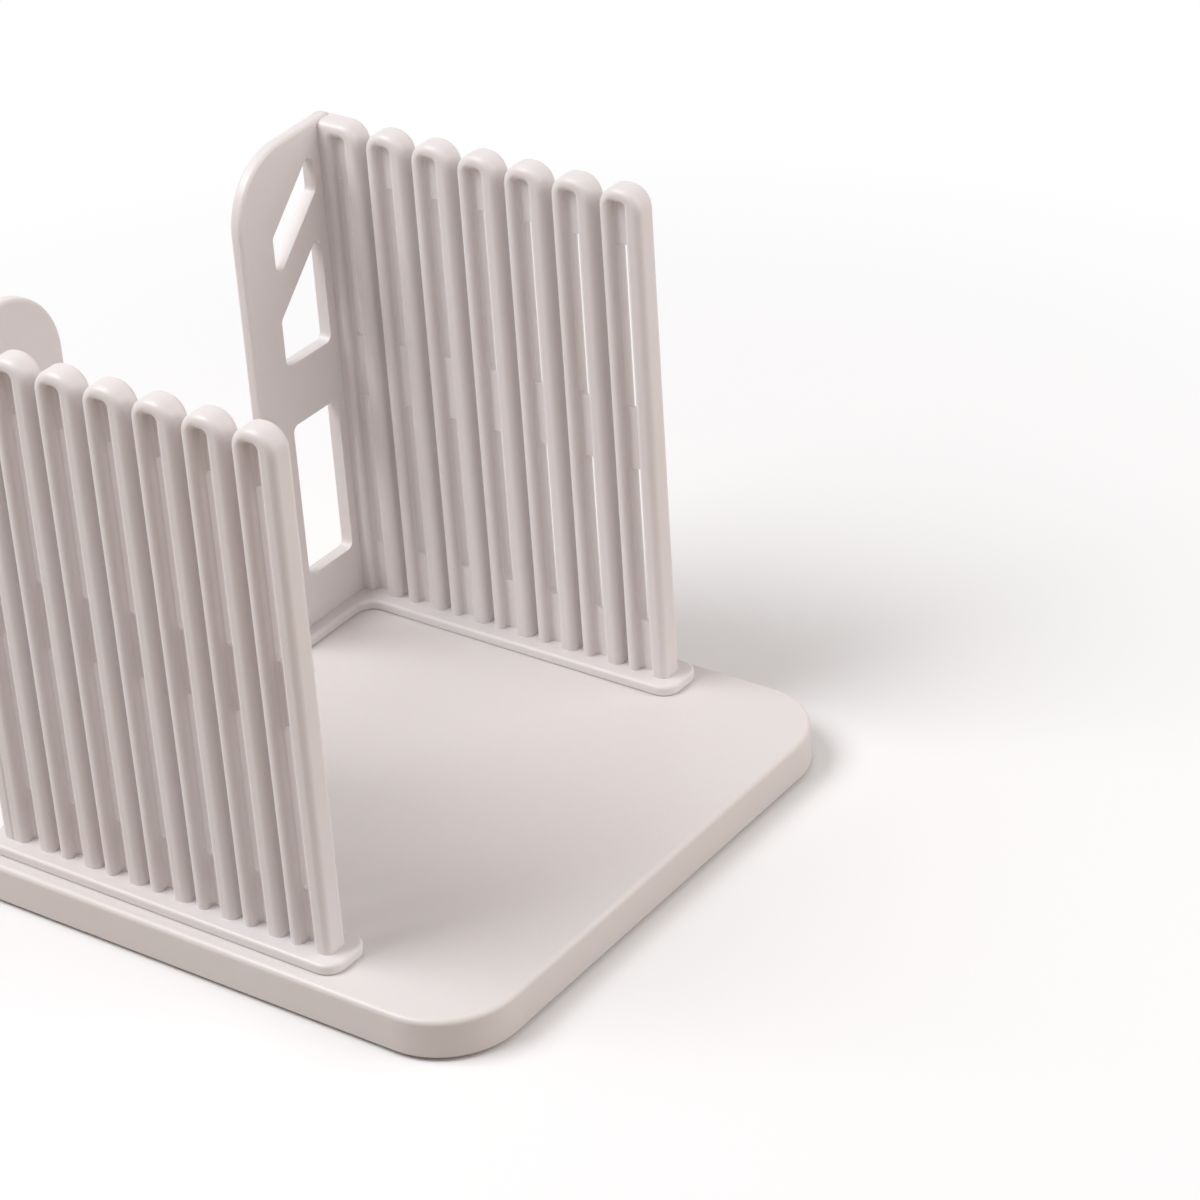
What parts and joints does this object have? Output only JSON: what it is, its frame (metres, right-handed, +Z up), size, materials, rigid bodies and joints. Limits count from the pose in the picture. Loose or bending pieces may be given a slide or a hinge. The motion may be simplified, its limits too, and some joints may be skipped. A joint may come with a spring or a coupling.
{
  "type": "bread slicing guide",
  "caption": "Plastic bread slicing guide: a flat base with a rounded apron, and upright comb guards on both sides, with knife slots and stop wings, that lift off.",
  "frame": {"origin": "middle of the footprint, on the surface that the guide stands on", "axes": "+X across the guide to its right-hand guard, +Y from the open apron at the front to the stop wings at the back, +Z up"},
  "size_m": [0.1368, 0.1284, 0.1272],
  "materials": {
    "base_plastic": "satin",
    "guard_plastic": "satin",
    "pad_rubber": "matte"
  },
  "bodies": {
    "base": {"base_plate": "base_plastic", "foot_pad_front_left": "pad_rubber", "foot_pad_front_right": "pad_rubber", "foot_pad_back_left": "pad_rubber", "foot_pad_back_right": "pad_rubber"},
    "left_guard": {"left_guard": "guard_plastic"},
    "right_guard": {"right_guard": "guard_plastic"}
  },
  "joints": [
    {"name": "left_guard_lift", "type": "slide", "parent": "base", "child": "left_guard", "axis": [0, 0, 1], "range_m": [0, 0.05]},
    {"name": "right_guard_lift", "type": "slide", "parent": "base", "child": "right_guard", "axis": [0, 0, 1], "range_m": [0, 0.05]}
  ]
}
